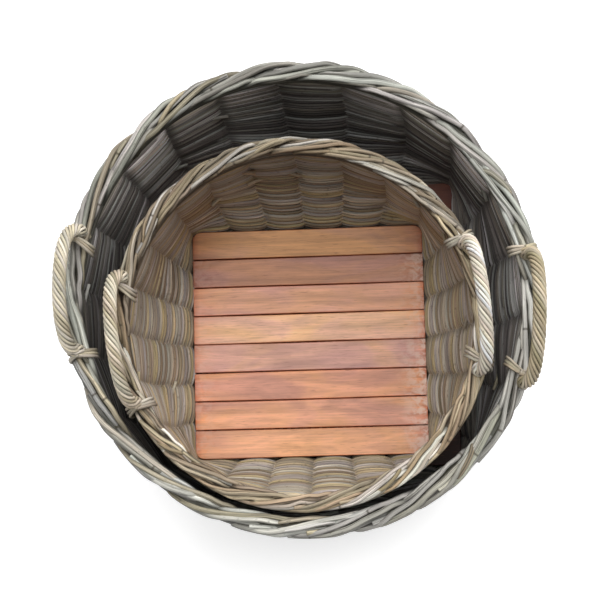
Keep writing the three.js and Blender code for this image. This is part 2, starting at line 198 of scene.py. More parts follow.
def makeWood(name, rough):
    material, tree, shader = startMaterial(name)
    spot = read(tree, "fibre", "Vector")
    wave = place(tree, "ShaderNodeTexWave", bands_direction="Y")
    feed(tree, wave.inputs["Vector"], stretch(tree, spot, woodFinish["figure"]))
    for key, value in woodFinish["figureWave"].items():
        feed(tree, wave.inputs[key], value)
    figure = wave.outputs["Fac"]
    kinds = ("cloud", "swirl", "streak", "grain", "pore", "bloom")
    cloud, swirl, streak, grain, pore, bloom = [mottle(tree, spot, *woodFinish[kind]) for kind in kinds]
    colour = read(tree, "tint", "Color")
    for tone in ("ochre", "mauve"):
        share = ramp(tree, cloud, woodFinish[tone + "Span"], (0.0, 1.0))
        colour = mixed(tree, share, colour, woodFinish[tone], "MULTIPLY")
    colour = shaded(tree, colour, swirl, noiseSpan, woodFinish["swirlLevels"])
    colour = shaded(tree, colour, figure, (0.0, 1.0), woodFinish["figureLevels"])
    colour = shaded(tree, colour, streak, noiseSpan, woodFinish["streakLevels"])
    colour = shaded(tree, colour, grain, noiseSpan, woodFinish["grainLevels"])
    pitted = ramp(tree, pore, woodFinish["poreSpan"], (0.0, woodFinish["poreShare"]))
    colour = mixed(tree, pitted, colour, woodFinish["deep"])
    bloomed = ramp(tree, bloom, woodFinish["bloomSpan"], (0.0, woodFinish["bloomShare"]))
    worn = sums(tree, "MULTIPLY", bloomed, read(tree, "tint", "Alpha"))
    colour = mixed(tree, worn, colour, woodFinish["worn"])
    colour = mixed(tree, pinKnots(tree, spot), colour, woodFinish["deep"])
    feed(tree, shader.inputs["Base Color"], colour)
    roughness = [rough + change for change in woodFinish["roughSpread"]]
    feed(tree, shader.inputs["Roughness"], ramp(tree, cloud, noiseSpan, roughness))
    shader.inputs["Specular IOR Level"].default_value = woodFinish["gloss"]
    height = sums(tree, "ADD", sums(tree, "MULTIPLY", figure, woodFinish["figureHeight"]), grain)
    bumped(tree, shader, height, *woodFinish["relief"])
    return material


def pinKnots(tree, spot):
    dots = place(tree, "ShaderNodeTexVoronoi")
    feed(tree, dots.inputs["Vector"], spot)
    feed(tree, dots.inputs["Scale"], woodFinish["knot"])
    chosen = place(tree, "ShaderNodeSeparateColor")
    feed(tree, chosen.inputs[0], dots.outputs["Color"])
    rare = ramp(tree, chosen.outputs[0], woodFinish["rareSpan"], (0.0, woodFinish["knotShare"]))
    knot = ramp(tree, dots.outputs["Distance"], woodFinish["knotSpan"], (1.0, 0.0))
    return sums(tree, "MULTIPLY", knot, rare)


deckWood = makeWood("deckWood", rough=0.52)


# finish of the castors: a fine pattern in the surface, a coarse one of stains or dust on it

zincFinish = dict(
    colour=(0.60, 0.60, 0.585), fine=((260, 260, 260), 3.0, 0.6), fineLevels=(0.85, 1.1),
    coarse=((45, 45, 45), 4.0, 0.6), soilSpan=(0.58, 0.75), soilShare=0.5, soilColour=(0.30, 0.27, 0.23),
    rough=(0.3, 0.52), metal=1.0, relief=(0.1, 0.3 * mm))
tyreFinish = dict(
    colour=(0.045, 0.045, 0.048), fine=((700, 700, 700), 2.0, 0.5), fineLevels=(0.85, 1.15),
    coarse=((60, 60, 60), 4.0, 0.65), soilSpan=(0.52, 0.75), soilShare=0.5, soilColour=(0.17, 0.16, 0.145),
    rough=(0.42, 0.66), metal=0.0, relief=(0.15, 0.3 * mm))


def makeFitting(name, finish):
    material, tree, shader = startMaterial(name)
    spot = place(tree, "ShaderNodeTexCoord").outputs["Object"]
    fine, coarse = mottle(tree, spot, *finish["fine"]), mottle(tree, spot, *finish["coarse"])
    colour = shaded(tree, finish["colour"], fine, noiseSpan, finish["fineLevels"])
    soiled = ramp(tree, coarse, finish["soilSpan"], (0.0, finish["soilShare"]))
    feed(tree, shader.inputs["Base Color"], mixed(tree, soiled, colour, finish["soilColour"]))
    feed(tree, shader.inputs["Roughness"], ramp(tree, coarse, noiseSpan, finish["rough"]))
    shader.inputs["Metallic"].default_value = finish["metal"]
    bumped(tree, shader, fine, *finish["relief"])
    return material


zincSteel = makeFitting("zincSteel", zincFinish)
wheelPlastic = makeFitting("wheelPlastic", tyreFinish)
print("finishes mixed")


# making pieces

def finishPiece(name, mesh, material, body, nodes=(), smooth=True):
    mesh.name = name
    mesh.polygons.foreach_set("use_smooth", np.full(len(mesh.polygons), smooth))
    mesh.materials.clear()
    mesh.materials.append(material)
    piece = bpy.data.objects.new(name, mesh)
    bpy.context.scene.collection.objects.link(piece)
    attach(piece, body)
    if nodes:
        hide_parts(*nodes)


def meshFrom(bm):
    mesh = bpy.data.meshes.new("piece")
    bm.to_mesh(mesh)
    bm.free()
    return mesh


def spotsOf(mesh):
    flat = np.empty(len(mesh.vertices) * 3, np.float32)
    mesh.vertices.foreach_get("co", flat)
    return flat.reshape(-1, 3).astype(float)


def dress(mesh, spots, tints, fibre, wear=0.0):
    colours = np.empty((len(spots), 4), np.float32)
    colours[:, :3], colours[:, 3] = tints, wear
    mesh.vertices.foreach_set("co", spots.astype(np.float32).ravel())
    mesh.color_attributes.new("tint", "FLOAT_COLOR", "POINT").data.foreach_set("color", colours.ravel())
    lay = mesh.attributes.new("fibre", "FLOAT_VECTOR", "POINT")
    lay.data.foreach_set("vector", fibre.astype(np.float32).ravel())
    mesh.update()


def block(bm, centre, size):
    bmesh.ops.create_cube(bm, size=1, matrix=Matrix.Translation(centre) @ Matrix.Diagonal((*size, 1)))


def uprights(bm):
    return [e for e in bm.edges if abs(e.verts[0].co.z - e.verts[1].co.z) > mm]


def sharpEdges(bm, angle):
    return [e for e in bm.edges if e.calc_face_angle(0) > angle]


def soften(bm, edges, offset, segments):
    bmesh.ops.bevel(
        bm, geom=edges, offset=offset, affect="EDGES", segments=segments, profile=0.5, material=-1)


# canes: straight blanks of unit size are laid side by side, then bent along their lines

blank = dict(apart=4, ringReach=10, endInset=0.3, cutShare=0.8)
cane = dict(
    facing=(-0.05, 0.75),  # how far a side looks up, from full painted shade to painted light
    cutPaler=1.1, cutCream=(0.02, 0.015, 0.01), palestCut=0.8, palest=0.85,
    startWithin=40, aside=(0.31, 0.23, 0.92), curveSteps=12, hueWander=0.03)


def evenly(points, count):
    points = np.asarray(points, float)
    run = np.concatenate([[0], np.cumsum(np.linalg.norm(np.diff(points, axis=0), axis=1))])
    at = np.linspace(0, run[-1], count)
    return np.stack([np.interp(at, run, points[:, i]) for i in range(3)], 1)


def smoothLine(points, count):
    points = np.asarray(points, float)
    padded = np.vstack([2 * points[0] - points[1], points, 2 * points[-1] - points[-2]])
    fine = []
    for i in range(len(points) - 1):
        a, b, c, d = padded[i:i + 4]
        t = np.linspace(0, 1, cane["curveSteps"], endpoint=i == len(points) - 2)[:, None]
        bend = (2 * a - 5 * b + 4 * c - d) * t**2 + (3 * b - a - 3 * c + d) * t**3
        fine.append(0.5 * (2 * b + (c - a) * t + bend))
    return evenly(np.vstack(fine), count)


def sideways(lines):
    ahead = np.gradient(lines, axis=1)
    ahead /= np.linalg.norm(ahead, axis=2, keepdims=True)
    across = np.empty_like(lines)
    across[:, 0] = np.cross(ahead[:, 0], cane["aside"])
    across[:, 0] /= np.linalg.norm(across[:, 0], axis=1, keepdims=True)
    for i in range(1, lines.shape[1]):
        before = across[:, i - 1]
        step = before - ahead[:, i] * np.sum(before * ahead[:, i], axis=1, keepdims=True)
        across[:, i] = step / np.linalg.norm(step, axis=1, keepdims=True)
    return across, np.cross(ahead, across)


def layBlanks(count, points, sides):
    bm = bmesh.new()
    for k in range(count):
        at = Matrix.Translation((blank["apart"] * k, 0, 0.5))
        bmesh.ops.create_cone(bm, cap_ends=True, segments=sides, radius1=1, radius2=1, depth=1, matrix=at)
    cuts = [f for f in bm.faces if abs(f.normal.z) > 0.9]
    bmesh.ops.inset_individual(bm, faces=cuts, thickness=blank["endInset"])
    lengthwise = [e for e in bm.edges if abs(e.verts[0].co.z - e.verts[1].co.z) > 0.5]
    bmesh.ops.subdivide_edges(bm, edges=lengthwise, cuts=points - 2, use_grid_fill=True)
    return meshFrom(bm)


def bentCanes(lines, radii, tints, sides=8, shade=1.0, paintedTopLight=(1.0, 1.0), paintedCreviceShade=None):
    lines = np.asarray(lines, float)
    count, points = lines.shape[:2]
    mesh = layBlanks(count, points, sides)
    flat = spotsOf(mesh)
    k = np.rint(flat[:, 0] / blank["apart"]).astype(int)
    i = np.clip(np.rint(flat[:, 2] * (points - 1)).astype(int), 0, points - 1)
    across, over = sideways(lines)
    thick = np.broadcast_to(np.asarray(radii, float).reshape(count, -1), (count, points))[k, i][:, None]
    u, v = (flat[:, 0] - blank["apart"] * k)[:, None] * thick, flat[:, 1:2] * thick
    spots = lines[k, i] + u * across[k, i] + v * over[k, i]
    run = np.cumsum(np.linalg.norm(np.diff(lines, axis=1, prepend=lines[:, :1]), axis=2), axis=1)
    start = dice.uniform(0, cane["startWithin"], count)
    fibre = np.concatenate([u, v, (run[k, i] + start[k])[:, None]], axis=1)
    colours = np.asarray(tints)[k] * np.broadcast_to(shade, (count, points))[k, i][:, None]
    # painted light and shade: a strand's top lighter, its sides and underside darker, as light falls from
    # above
    facing = (u * across[k, i] + v * over[k, i])[:, 2] / thick[:, 0]
    colours = colours * np.interp(facing, cane["facing"], paintedTopLight)[:, None]
    onCut = np.hypot(u, v) < blank["cutShare"] * thick
    cutColours = np.minimum(colours * cane["cutPaler"] + cane["cutCream"], cane["palestCut"])
    colours = np.where(onCut, cutColours, colours)
    if paintedCreviceShade:
        # the first line is the heart of a rope; painted shade darkens its strands where they meet
        fromHeart = np.linalg.norm(spots - lines[0, i], axis=1)
        colours = colours * np.interp(fromHeart, *paintedCreviceShade)[:, None]
    dress(mesh, spots, np.minimum(colours, cane["palest"]), fibre)
    return mesh


def pickTints(palette, count, wander=0.14):
    chosen = np.asarray(palette)[dice.integers(0, len(palette), count)]
    light = dice.uniform(1 - wander, 1 + wander, (count, 1))
    hue = dice.uniform(1 - cane["hueWander"], 1 + cane["hueWander"], (count, 3))
    return np.clip(chosen * light * hue, 0, 1)


# the two baskets; the rest of their sizes is read from the frame
# a rim mate is a path, its lag, mm out, mm up and girth; painted light and shade: tone by degrees round,
# fade by height

largeBasket = dict(
    name="large", slot="grey_rattan", stakes=22, seam=94.0, rowPitch=7.1 * mm,
    oval=0.0127, ovalTurn=127, drift=(-1.6 * mm, 2.6 * mm),
    # each handle's shade is painted light and shade: the same rope made lighter or darker as the light fell
    # on it
    handles=dict(
        right=dict(
            turn=-7.2, span=160 * mm, lean=11 * mm, legOut=7.5 * mm, skew=4 * mm, shade=(0.95, 0.92, 0.84)),
        left=dict(turn=-1.8, span=152 * mm, lean=8 * mm, legOut=2.5 * mm, skew=0, shade=(1.16, 1.19, 1.24))),
    rimWidth=29 * mm, rodRadius=3.55 * mm, rimSpread=0.84, rimShift=2.6, bleached=0.17,
    rimMates=[("leader", 0, 0, 0, 1), ("follower", 0, 0, 0, 1), ("follower", 0.14, 6, -7, 0.85),
              ("filler", 0, 0, 0, 0.9), ("stub", 0, 0, 0, 0.9)],
    hooks=(-42, 68, 128, -118, -163, 33),
    wallColours=[(0.20, 0.185, 0.17), (0.28, 0.27, 0.26), (0.11, 0.10, 0.095), (0.42, 0.41, 0.40),
                 (0.21, 0.19, 0.165)],
    # tone and fade are painted light and shade on the inside of the wall
    tone=((0, 35, 60, 78, 95, 112, 138, 155, 170, 215, 260, 320, 360),
          (1.75, 2.3, 1.6, 0.95, 0.62, 2.1, 3, 1.4, 0.66, 0.66, 0.85, 1.9, 1.75)),
    fade=((0, 0.35, 0.7, 1), (0.6, 0.7, 1.1, 1.6)), outside=1.15,
    rimColours=[(0.38, 0.37, 0.33), (0.46, 0.45, 0.41), (0.31, 0.30, 0.265), (0.51, 0.495, 0.45),
                (0.41, 0.385, 0.32), (0.44, 0.43, 0.395), (0.36, 0.345, 0.305), (0.49, 0.48, 0.435),
                (0.38, 0.33, 0.24)],
    hookColours=[(0.38, 0.345, 0.275), (0.46, 0.44, 0.385), (0.34, 0.28, 0.19), (0.47, 0.445, 0.385)],
    ropeColours=[(0.60, 0.515, 0.37), (0.72, 0.645, 0.51), (0.50, 0.43, 0.31), (0.66, 0.59, 0.475)],
)
smallBasket = dict(
    name="small", slot="brown_rattan", stakes=24, seam=90.4, rowPitch=6.7 * mm,
    oval=0.0106, ovalTurn=143, drift=(1.7 * mm, -2.2 * mm),
    # each handle's shade is painted light and shade: the same rope made lighter or darker as the light fell
    # on it
    handles=dict(
        right=dict(turn=3.9, span=160 * mm, lean=1 * mm, legOut=2.5 * mm, skew=0, shade=(1.45, 1.49, 1.60)),
        left=dict(turn=5.3, span=160 * mm, lean=1 * mm, legOut=2.5 * mm, skew=0, shade=(0.98, 0.965, 0.91))),
    rimWidth=28 * mm, rodRadius=2.6 * mm, rimSpread=0.72, rimShift=-0.6, bleached=0.23,
    rimMates=[("leader", 0, 0, 0, 1), ("leader", 0.06, 6, -1.4, 0.95), ("follower", 0.04, 3, -0.4, 1),
              ("follower", 0.13, 8.6, -6.5, 0.9), ("filler", 0, 0, 0, 0.9), ("stub", 0, 0, 0, 0.9)],
    hooks=(-57, 104, 47, 152, -132),
    wallColours=[(0.39, 0.32, 0.235), (0.46, 0.395, 0.315), (0.31, 0.24, 0.165), (0.51, 0.455, 0.38),
                 (0.45, 0.355, 0.205), (0.42, 0.37, 0.315), (0.48, 0.39, 0.24), (0.45, 0.41, 0.38)],
    # tone and fade are painted light and shade on the inside of the wall
    tone=((0, 60, 90, 120, 180, 270, 360), (1.3, 1.02, 0.8, 0.98, 1.18, 1.27, 1.3)),
    fade=((0, 0.1, 1), (0.97, 1, 1)), outside=0.9,
    rimColours=[(0.37, 0.305, 0.225), (0.45, 0.395, 0.31), (0.275, 0.22, 0.155), (0.57, 0.53, 0.465),
                (0.405, 0.33, 0.22), (0.32, 0.24, 0.155)],
    hookColours=[(0.40, 0.33, 0.22), (0.48, 0.43, 0.34), (0.32, 0.25, 0.15)],
    ropeColours=[(0.62, 0.545, 0.42), (0.74, 0.665, 0.555), (0.52, 0.45, 0.34), (0.68, 0.605, 0.50)],
)
baskets = (largeBasket, smallBasket)
foot = dict(corner=20 * mm, room=2 * mm, lean=8 * mm, leanLimit=1.2, belly=1.8, steps=721)
swayLimit = 1.15  # the handles stand above the rim
wallThickness = 16 * mm


def squareReach(angle, half, corner):
    c, s = np.abs(np.cos(angle)), np.abs(np.sin(angle))
    inset = half - corner
    onCorner = inset * (c + s) + np.sqrt(np.maximum(corner**2 - (inset * (c - s)) ** 2, 0))
    onSide = half * np.minimum(c, s) <= inset * np.maximum(c, s)
    return np.where(onSide, half / np.maximum(c, s), onCorner)


def measure(basket):
    name = basket["name"]
    low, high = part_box(name + "_rim_border")
    slatLow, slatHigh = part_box(name + "_slat_4")
    basket["body"] = name + "_basket"
    basket["centre"] = np.array([(low.x + high.x) / 2, (low.y + high.y) / 2])
    basket["rimMiddle"] = (high.x - low.x) / 2 - basket["rimWidth"] / 2
    basket["rimTop"], basket["rimBottom"] = high.z, low.z
    basket["deckTop"], basket["slatBottom"] = slatHigh.z, slatLow.z
    basket["skirtBottom"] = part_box(name + "_woven_body")[0].z
    basket["footHalf"] = (slatHigh.x - slatLow.x) / 2 + foot["room"]
    basket["wallRadius"] = basket["rimMiddle"] - wallThickness / 2
    # stakes stand evenly along the foot's sides, so at the foot their angles aren't even shares of a turn
    angles = np.linspace(0, wholeTurn, foot["steps"])
    reach = squareReach(angles, basket["footHalf"], foot["corner"])
    spots = np.stack([reach * np.cos(angles), reach * np.sin(angles)], 1)
    run = np.concatenate([[0], np.cumsum(np.linalg.norm(np.diff(spots, axis=0), axis=1))])
    basket["footAngles"] = (run / run[-1], angles)


def sway(basket, spots):
    # woven by hand, so the upper part is a little out of round and out of line with the foot
    share = (spots[..., 2] - basket["deckTop"]) / (basket["rimTop"] - basket["deckTop"])
    share = np.clip(share, 0, swayLimit)
    turn = 2 * math.radians(basket["ovalTurn"])
    c, s = basket["oval"] * share * math.cos(turn), basket["oval"] * share * math.sin(turn)
    x, y = spots[..., 0] - basket["centre"][0], spots[..., 1] - basket["centre"][1]
    x, y = x * (1 + c) + y * s, x * s + y * (1 - c)
    x = x + basket["centre"][0] + basket["drift"][0] * share
    y = y + basket["centre"][1] + basket["drift"][1] * share
    return np.stack([x, y, spots[..., 2]], -1)


def weaveSpot(basket, phase, height, outward):
    share = np.clip((height - basket["deckTop"]) / (basket["rimBottom"] - basket["deckTop"]), 0, 1)
    footHalf, wallRadius = basket["footHalf"], basket["wallRadius"]
    footDiagonal = (footHalf - foot["corner"]) * math.sqrt(2) + foot["corner"]
    half = footHalf + (wallRadius - footHalf) * (1 - (1 - share) ** foot["belly"])
    diagonal = footDiagonal + (wallRadius - footDiagonal) * share
    corner = np.minimum((half * math.sqrt(2) - diagonal) / (math.sqrt(2) - 1), half)
    below = (basket["slatBottom"] - height) / (basket["slatBottom"] - basket["skirtBottom"])
    half = half - foot["lean"] * np.clip(below, 0, foot["leanLimit"])
    angle = wholeTurn * phase
    angle = angle + (1 - share) * (np.interp(phase % 1, *basket["footAngles"]) - wholeTurn * (phase % 1))
    reach = squareReach(angle, half, corner)
    x, y = reach * np.cos(angle), reach * np.sin(angle)
    nx, ny = np.maximum(np.abs(x) - half + corner, 0), np.maximum(np.abs(y) - half + corner, 0)
    size = np.maximum(np.hypot(nx, ny), 1e-9)
    x = basket["centre"][0] + x + np.sign(x) * nx / size * outward
    y = basket["centre"][1] + y + np.sign(y) * ny / size * outward
    return sway(basket, np.stack([x, y, np.broadcast_to(height, x.shape)], -1))


def rimSpot(basket, angle, outward, up):
    reach = basket["rimMiddle"] + np.asarray(outward)
    x = basket["centre"][0] + reach * np.cos(angle)
    y = basket["centre"][1] + reach * np.sin(angle)
    return sway(basket, np.stack([x, y, basket["rimTop"] + np.asarray(up) + 0 * x], -1))


for basket in baskets:
    measure(basket)
print("baskets measured")


# woven wall: pairs of strands twist round the stakes, one inside while the other is outside

weave = dict(
    swing=4.6 * mm, lift=1.0 * mm, fill=0.515, taller=1.17, flatter=0.9, belowRim=2 * mm, cellSteps=7,
    sides=6, bulgePower=0.58, girth=(0.9, 1.1), neck=0.08, neckPower=0.6,
    girthWaver=0.07, pathWaver=0.6 * mm,
    hug=3.4 * mm, hugShare=0.3,  # strands lie closer to the deck's edge, up to this share of the wall
    leastCells=3, fibreStep=3.713, seamShade=0.86, paintedCreaseShade=0.5, creaseSpan=(0.5, 1), insideFrom=0.3)
waves = dict(turns=(2, 3, 5, 8, 13), shares=(0.3, 1), calm=1.6)


def waver(count, steps, size):
    phase = np.arange(steps) / steps * wholeTurn
    total = np.zeros((count, steps))
    for turns in waves["turns"]:
        shift = dice.uniform(0, wholeTurn, (count, 1))
        share = dice.uniform(*waves["shares"], (count, 1))
        total += np.sin(turns * phase[None] + shift) * share / turns**0.5
    return total * size / waves["calm"]


def ringBlanks(count, steps):
    bm = bmesh.new()
    upright = Matrix.Rotation(math.pi / 2, 4, "X")
    for k in range(count):
        at = Matrix.Translation((blank["ringReach"], 0, blank["apart"] * k)) @ upright
        bmesh.ops.create_circle(bm, cap_ends=False, segments=weave["sides"], radius=1, matrix=at)
    bmesh.ops.spin(
        bm, geom=bm.verts[:] + bm.edges[:], cent=(0, 0, 0), axis=(0, 0, 1),
        angle=wholeTurn, steps=steps, use_merge=True)
    bmesh.ops.recalc_face_normals(bm, faces=bm.faces[:])
    return meshFrom(bm)


def tintStrands(basket, count, k, j, within, aboveDeck):
    # a row is a few canes long; the next one starts behind a stake
    stakes, cellSteps = basket["stakes"], weave["cellSteps"]
    firstCell = dice.integers(0, stakes, count)
    nextCell = dice.integers(weave["leastCells"], stakes - weave["leastCells"], count)
    cell = (j // cellSteps - firstCell[k]) % stakes
    former = pickTints(basket["wallColours"], count)
    latter = pickTints(basket["wallColours"], count)
    tints = np.where((cell < nextCell[k])[:, None], former[k], latter[k])
    # painted shade: strands darker towards the seams, where the pairs cross
    tints = tints * (weave["seamShade"] + (1 - weave["seamShade"]) * np.abs(within))
    # painted light and shade on the inside: darker with depth and on the shaded sides, lighter near the rim
    # and on the lit sides; the outside more evenly
    degrees = j / (stakes * cellSteps) * 360
    tone = np.interp(degrees, *basket["tone"]) * np.interp(aboveDeck, *basket["fade"])
    inner = tints * tone[:, None]
    outer = (tints + np.mean(basket["wallColours"], axis=0)) / 2 * basket["outside"]
    between = np.where(within < -weave["insideFrom"], outer, np.minimum(inner, outer))
    return np.where(within > weave["insideFrom"], inner, between), firstCell


def weaveWall(basket):
    name, stakes, cellSteps = basket["name"], basket["stakes"], weave["cellSteps"]
    steps = stakes * cellSteps
    strand = basket["rowPitch"] * weave["fill"]
    low, high = basket["skirtBottom"] + strand, basket["rimBottom"] - weave["belowRim"]
    rows = int((high - low) / basket["rowPitch"])
    count = rows * 2
    mesh = ringBlanks(count, steps)
    flat = spotsOf(mesh)
    k = np.rint(flat[:, 2] / blank["apart"]).astype(int)
    j = np.rint(np.arctan2(flat[:, 1], flat[:, 0]) / wholeTurn * steps).astype(int) % steps
    u, v = np.hypot(flat[:, 0], flat[:, 1]) - blank["ringReach"], flat[:, 2] - blank["apart"] * k
    phase = np.arange(steps) / steps
    turn = np.pi * stakes * (phase - basket["seam"] / 360) - np.pi / 2
    side = np.where(np.arange(count) % 2 == 0, 1, -1)[:, None]
    slack = np.abs(np.cos(turn))  # none where a pair crosses
    bulge = side * np.sign(np.cos(turn)) * slack ** weave["bulgePower"]
    girth = strand * dice.uniform(*weave["girth"], (count, 1))
    girth = girth * (1 - weave["neck"] + weave["neck"] * slack ** weave["neckPower"])
    girth = girth * (1 + waver(count, steps, weave["girthWaver"]))
    middle = np.linspace(low, high, rows)[np.arange(count) // 2][:, None]
    middle = middle + weave["lift"] * side * np.sin(turn) ** 3 + waver(count, steps, weave["pathWaver"])
    outward = wallThickness / 2 - weave["swing"] * bulge + waver(count, steps, weave["pathWaver"])
    aboveDeck = (middle - basket["deckTop"]) / (basket["rimBottom"] - basket["deckTop"])
    outward = outward - weave["hug"] * np.clip(1 - np.abs(aboveDeck) / weave["hugShare"], 0, 1)
    thick = girth[k, j]
    spots = weaveSpot(basket, phase[j], middle[k, j], outward[k, j] + u * thick * weave["flatter"])
    spots[:, 2] += v * thick * weave["taller"]
    tints, firstCell = tintStrands(basket, count, k, j, bulge[k, j][:, None], aboveDeck[k, j])
    # painted shade: each strand darker at its top and bottom, in the creases between rows
    tints = tints * (1 - weave["paintedCreaseShade"] * np.interp(np.abs(v), weave["creaseSpan"], (0, 1)))[:, None]
    run = (j - firstCell[k] * cellSteps) % steps * (wholeTurn * basket["rimMiddle"] / steps)
    fibre = np.stack([u * thick, v * thick, run + k * weave["fibreStep"]], 1)
    dress(mesh, spots, tints, fibre)
    nodes = [name + "_woven_body"]
    finishPiece(name + "_wall_strands", mesh, weaveCane, basket["body"], nodes)
    print(name, "wall", rows, "rows")


stake = dict(radius=3.4 * mm, points=16, below=14 * mm, sides=6)


def setStakes(basket):
    name, stakes, points = basket["name"], basket["stakes"], stake["points"]
    heights = np.linspace(basket["skirtBottom"] + stake["radius"], basket["rimTop"] - stake["below"], points)
    lines = []
    for s in range(stakes):
        phase = np.full(points, (s + 0.5) / stakes + basket["seam"] / 360)
        lines.append(weaveSpot(basket, phase, heights, wallThickness / 2))
    tints = pickTints(basket["wallColours"], stakes)
    mesh = bentCanes(lines, np.full(stakes, stake["radius"]), tints, stake["sides"])
    finishPiece(name + "_wall_stakes", mesh, weaveCane, basket["body"])


mat = dict(pitch=11 * mm, radius=2.5 * mm, swing=2.2 * mm, height=17 * mm, margin=3 * mm, sides=6)


def plaitFloor(basket):
    name = basket["name"]
    half = basket["footHalf"] - foot["lean"] / 2 - mat["margin"]
    count = 2 * int(half / mat["pitch"]) + 1
    offsets = (np.arange(count) - (count - 1) / 2) * mat["pitch"]
    inset = half - foot["corner"]
    lines = []
    for way in (0, 1):
        for n, offset in enumerate(offsets):
            over = max(abs(offset) - inset, 0)
            end = inset + math.sqrt(max(foot["corner"] ** 2 - over**2, 1e-6))
            along = np.linspace(-end, end, 2 * count)
            cell = along / mat["pitch"] + (count - 1) / 2
            wave = np.cos(np.pi * (cell + n + way))
            pair = [along, np.full_like(along, offset)]
            spots = np.stack(pair if way == 0 else pair[::-1], 1) + basket["centre"]
            up = basket["skirtBottom"] + mat["height"] + mat["swing"] * wave
            lines.append(np.concatenate([spots, up[:, None]], 1))
    tints = pickTints(basket["wallColours"], len(lines))
    mesh = bentCanes(lines, np.full(len(lines), mat["radius"]), tints, mat["sides"])
    finishPiece(name + "_floor_mat", mesh, weaveCane, basket["body"])


# ends of strands that stand out a little inside the wall, along in shares of a stake's spacing
cutTip = dict(
    count=12, radius=2.4 * mm, points=6, sides=6, margin=12 * mm, pastSeam=0.05,
    along=(-0.3, 0.12), outward=(6 * mm, -0.5 * mm), climb=3 * mm)


def trimEnds(basket):
    stakes, points = basket["stakes"], cutTip["points"]
    lowest, highest = basket["deckTop"] + cutTip["margin"], basket["rimBottom"] - cutTip["margin"]
    outward = np.linspace(*cutTip["outward"], points)
    climb = np.linspace(0, cutTip["climb"], points)
    lines = []
    for s in range(cutTip["count"]):
        seam = (dice.integers(0, stakes) + cutTip["pastSeam"]) / stakes + basket["seam"] / 360
        height = dice.uniform(lowest, highest)
        way = dice.choice([-1, 1])
        phase = seam + way * np.linspace(*cutTip["along"], points) / stakes
        lines.append(weaveSpot(basket, phase, height + climb * way, outward))
    tints = pickTints(basket["rimColours"], len(lines))
    mesh = bentCanes(lines, np.full(len(lines), cutTip["radius"]), tints, cutTip["sides"])
    finishPiece(basket["name"] + "_wall_cut_ends", mesh, weaveCane, basket["body"])


for basket in baskets:
    weaveWall(basket)
    setStakes(basket)
    plaitFloor(basket)
    trimEnds(basket)
print("walls and floors woven")


# plaited rim; a rod's points are stake spacings along, mm out from mid rim, mm up from the top

rim = dict(
    leader=[(-0.25, -4, -34), (-0.12, -7.5, -24), (0, -9.8, -13), (0.14, -10.4, -6.4), (0.32, -10.4, -4.4),
            (0.52, -9.4, -4), (0.8, -5.4, -4), (1.1, 1.2, -4.2), (1.4, 8.4, -5), (1.62, 12.6, -8),
            (1.8, 13.4, -14), (1.96, 11.6, -21), (2.12, 8, -29)],
    follower=[(-0.1, -1, -30), (0.05, -3.6, -20), (0.2, -3.8, -11.5), (0.36, -2.8, -6.6), (0.55, -1.2, -4.8),
              (0.8, 2.6, -4.4), (1.08, 8.6, -5.4), (1.3, 12.4, -8.4), (1.48, 13.4, -14), (1.66, 11.4, -21),
              (1.82, 8, -29)],
    filler=[(0.35, -9.5, -17), (0.5, -10.8, -11.5), (0.7, -11, -7.2), (0.9, -9.4, -5.4), (1.08, -6.4, -6),
            (1.22, -3.6, -10), (1.32, -2, -16)],
    stub=[(0.2, 3.5, -18), (0.4, 5.2, -12), (0.6, 7.2, -8), (0.78, 8.8, -6)],
    points=32, stubShare=0.7, stakeWander=0.06, drift=(0.07, 0.8, 0.6), wobble=(0.75, 0.5),
    reach=13.8, sink=0.9,  # the furthest out in mm, and the least depth in radii
    girth=(0.88, 1.1), swell=0.05, swellRun=(6, 14), swellStart=(0, 6),
    hiddenShade=0.5, hiddenShadeDepth=(6, 15), hiddenShadeAside=(8, 11), paintedTopLight=(0.4, 1.08), tintWander=0.15, bleachedSide=-80)


def shadeHiddenRods(basket, line):
    # painted shade: rods deep inside the border, where little light reaches, are darker
    depth = (basket["rimTop"] - line[:, 2]) / mm
    aside = (np.hypot(*(line[:, :2] - basket["centre"]).T) - basket["rimMiddle"]) / mm - basket["rimShift"]
    aside = np.abs(aside) / basket["rimSpread"]
    hidden = np.interp(depth, rim["hiddenShadeDepth"], (0, 1)) * np.interp(aside, rim["hiddenShadeAside"], (1, 0))
    return 1 - (1 - rim["hiddenShade"]) * hidden


